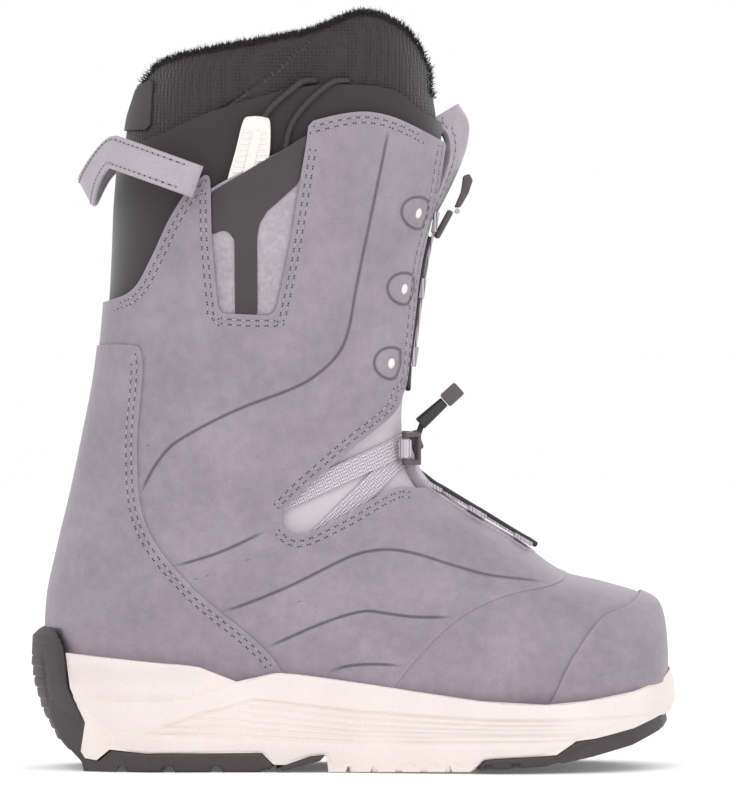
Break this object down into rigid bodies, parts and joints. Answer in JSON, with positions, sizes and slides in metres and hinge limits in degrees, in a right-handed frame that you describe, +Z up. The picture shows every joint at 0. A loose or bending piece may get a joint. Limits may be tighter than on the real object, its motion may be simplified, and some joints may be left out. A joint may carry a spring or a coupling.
{
  "type": "snowboard boot",
  "caption": "Tall laced snowboard boot for the right foot, with a flexing cuff, tongue, removable liner, hand pulls for the laces, foam midsole and rubber outsole.",
  "frame": {"origin": "on the floor under the middle of the boot's bounding box", "axes": "+X towards the toe, +Z up, the outer side of this right boot at -Y"},
  "size_m": [0.2922, 0.1209, 0.3414],
  "materials": {
    "leather": "fine grain, semi matte",
    "leather_pale": "smooth, semi matte",
    "rubber": "matte moulded",
    "foam": "matte moulded foam",
    "board": "matte",
    "cushion": "matte",
    "neoprene": "smooth stretch fabric",
    "cord": "braided",
    "black_rubber": "matte",
    "mesh": "knitted mesh",
    "pile": "short pile",
    "pocket_fabric": "shiny woven",
    "lining": "brushed",
    "webbing": "woven",
    "plastic": "satin",
    "pale_plastic": "satin",
    "steel": "brushed"
  },
  "bodies": {
    "foot": {"outsole_heel": "rubber", "outsole_toe": "rubber", "arch_insert": "rubber", "midsole": "foam", "heel_cushion": "cushion", "toe_cap": "leather", "vamp": "leather", "heel_counter": "leather", "quarter_lateral": "leather", "quarter_medial": "leather", "lasting_board": "board", "notch_lining_lateral": "lining", "ankle_strap_lower_lateral": "webbing", "notch_lining_medial": "lining", "ankle_strap_lower_medial": "webbing", "lower_tongue": "leather_pale", "vamp_webbing_lateral": "webbing", "vamp_webbing_medial": "webbing", "lower_lace": "cord", "liner_foot": "mesh", "footbed": "lining", "heel_stiffener": "plastic"},
    "cuff": {"ankle_strap_upper_lateral": "webbing", "ankle_ring_lateral": "plastic", "ankle_strap_upper_medial": "webbing", "ankle_ring_medial": "plastic", "cuff_lateral": "leather", "pocket_lateral": "pocket_fabric", "hand_lace_lateral_1": "cord", "hand_lace_lateral_2": "cord", "eyestay_webbing_lateral": "webbing", "eyestay_rivet_lateral_1": "pale_plastic", "eyestay_rivet_lateral_2": "pale_plastic", "eyestay_rivet_lateral_3": "pale_plastic", "cuff_medial": "leather", "pocket_medial": "pocket_fabric", "hand_lace_medial_1": "cord", "hand_lace_medial_2": "cord", "eyestay_webbing_medial": "webbing", "eyestay_rivet_medial_1": "pale_plastic", "eyestay_rivet_medial_2": "pale_plastic", "eyestay_rivet_medial_3": "pale_plastic", "collar": "neoprene", "lower_lock_body": "plastic", "liner_cuff": "mesh", "liner_pile": "pile", "liner_tag": "mesh"},
    "tongue": {"tongue": "leather", "tongue_stiffener": "plastic", "upper_lock_body": "plastic", "upper_lock_pin": "steel", "upper_lace": "cord"},
    "liner_tongue": {"liner_tongue": "mesh"},
    "upper_lock_lever": {"upper_lock_lever": "plastic"},
    "lace_handle_lateral": {"lace_handle_lateral": "pale_plastic"},
    "lace_handle_medial": {"lace_handle_medial": "pale_plastic"},
    "pull_loop": {"pull_loop": "leather"},
    "release_pull": {"release_pull": "black_rubber", "release_tip": "plastic"}
  },
  "joints": [
    {"name": "ankle_flex", "type": "hinge", "parent": "foot", "child": "cuff", "pos_m": [-0.033, 0, 0.1135], "axis": [0, 1, 0], "range_deg": [0, 5], "stiffness_Nm_per_rad": 25, "deforming": ["ankle_strap_lower_lateral", "ankle_strap_lower_medial", "lower_tongue", "notch_lining_lateral", "notch_lining_medial", "lower_lace"]},
    {"name": "tongue_tilt", "type": "hinge", "parent": "cuff", "child": "tongue", "pos_m": [0.019, 0, 0.163], "axis": [0, 1, 0], "range_deg": [-4, 0], "stiffness_Nm_per_rad": 1.5},
    {"name": "liner_tongue_tilt", "type": "hinge", "parent": "cuff", "child": "liner_tongue", "pos_m": [0.019, 0, 0.163], "axis": [0, 1, 0], "range_deg": [-4, 0]},
    {"name": "upper_lock_release", "type": "hinge", "parent": "tongue", "child": "upper_lock_lever", "pos_m": [0.0465, 0, 0.2525], "axis": [0, 1, 0], "range_deg": [0, 40], "stiffness_Nm_per_rad": 0.05},
    {"name": "lateral_handle_pull", "type": "slide", "parent": "cuff", "child": "lace_handle_lateral", "axis": [0.237, -0.1005, 0.9663], "range_m": [0, 0.036]},
    {"name": "medial_handle_pull", "type": "slide", "parent": "cuff", "child": "lace_handle_medial", "axis": [0.237, 0.1005, 0.9663], "range_m": [0, 0.036]},
    {"name": "pull_loop_swing", "type": "hinge", "parent": "cuff", "child": "pull_loop", "pos_m": [-0.07, 0, 0.2645], "axis": [0, 1, 0], "range_deg": [-15, 12], "stiffness_Nm_per_rad": 0.3},
    {"name": "release_pull_bend", "type": "hinge", "parent": "cuff", "child": "release_pull", "pos_m": [0.0295, -0.005, 0.156], "axis": [0, 1, 0], "range_deg": [-20, 20], "stiffness_Nm_per_rad": 0.05}
  ],
  "couplings": [
    {"joint": "liner_tongue_tilt", "follows": "tongue_tilt", "ratio": 1}
  ]
}
